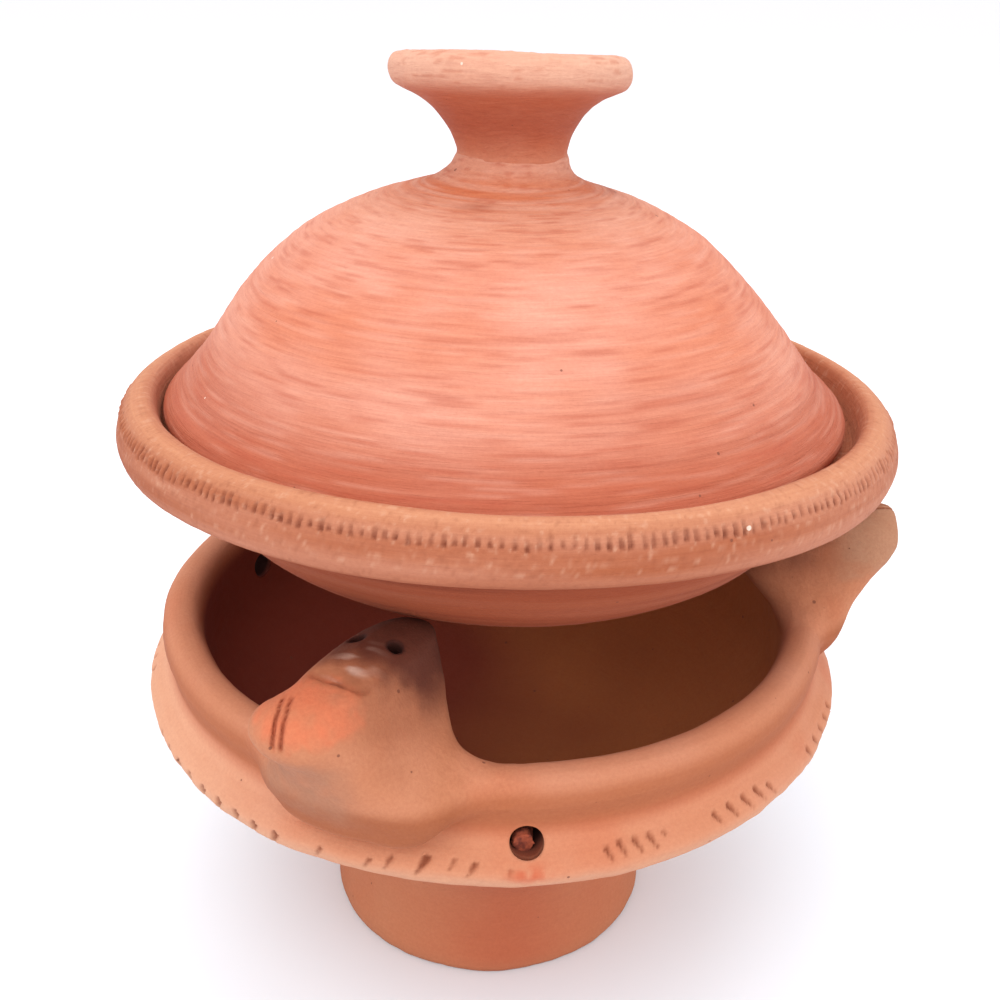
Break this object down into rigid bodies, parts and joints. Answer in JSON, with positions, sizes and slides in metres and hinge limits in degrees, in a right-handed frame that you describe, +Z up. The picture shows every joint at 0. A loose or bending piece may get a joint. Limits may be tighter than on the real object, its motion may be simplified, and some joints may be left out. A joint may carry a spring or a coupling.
{
  "type": "clay tagine pot on a charcoal brazier",
  "caption": "Unglazed terracotta tagine: domed lid with a flared knob in a rolled-rim dish, on a footed clay brazier with head-shaped pot rests round its lip.",
  "frame": {"origin": "on the table plane, in the middle of the floor space that the object covers; the pots' common axis stands at x = -4.5 mm, y = +1.5 mm, because the pot rests' beaks reach past the dish's rim on one side", "axes": "+Z up along the pots' axis, -Y towards the viewer's side with the plugged vent, +X to the viewer's right"},
  "size_m": [0.189, 0.183, 0.2164],
  "materials": {
    "lid_clay": "unglazed terracotta, pink-orange, fine turning lines, matt",
    "dish_clay": "unglazed terracotta, sandy orange rim over a redder turned underside, matt",
    "brazier_clay": "unglazed terracotta, smooth tan-orange outside, smoke-darkened maroon brown inside, matt",
    "rest_clay": "unglazed terracotta, sooty brown on top, ash grey under the beak, matt",
    "plug_clay": "raw dark red clay, matt"
  },
  "bodies": {
    "brazier": {"brazier_bowl": "brazier_clay", "brazier_foot": "brazier_clay", "pot_rest_front": "rest_clay", "pot_rest_right": "rest_clay", "pot_rest_back": "rest_clay", "vent_plug": "plug_clay"},
    "dish_pot": {"dish": "dish_clay"},
    "lid": {"lid_dome": "lid_clay", "lid_knob": "lid_clay"}
  },
  "joints": [
    {"name": "dish_lift", "type": "slide", "parent": "brazier", "child": "dish_pot", "axis": [0, 0, 1], "range_m": [0, 0.08]},
    {"name": "lid_lift", "type": "slide", "parent": "dish_pot", "child": "lid", "axis": [0, 0, 1], "range_m": [0, 0.08]}
  ]
}
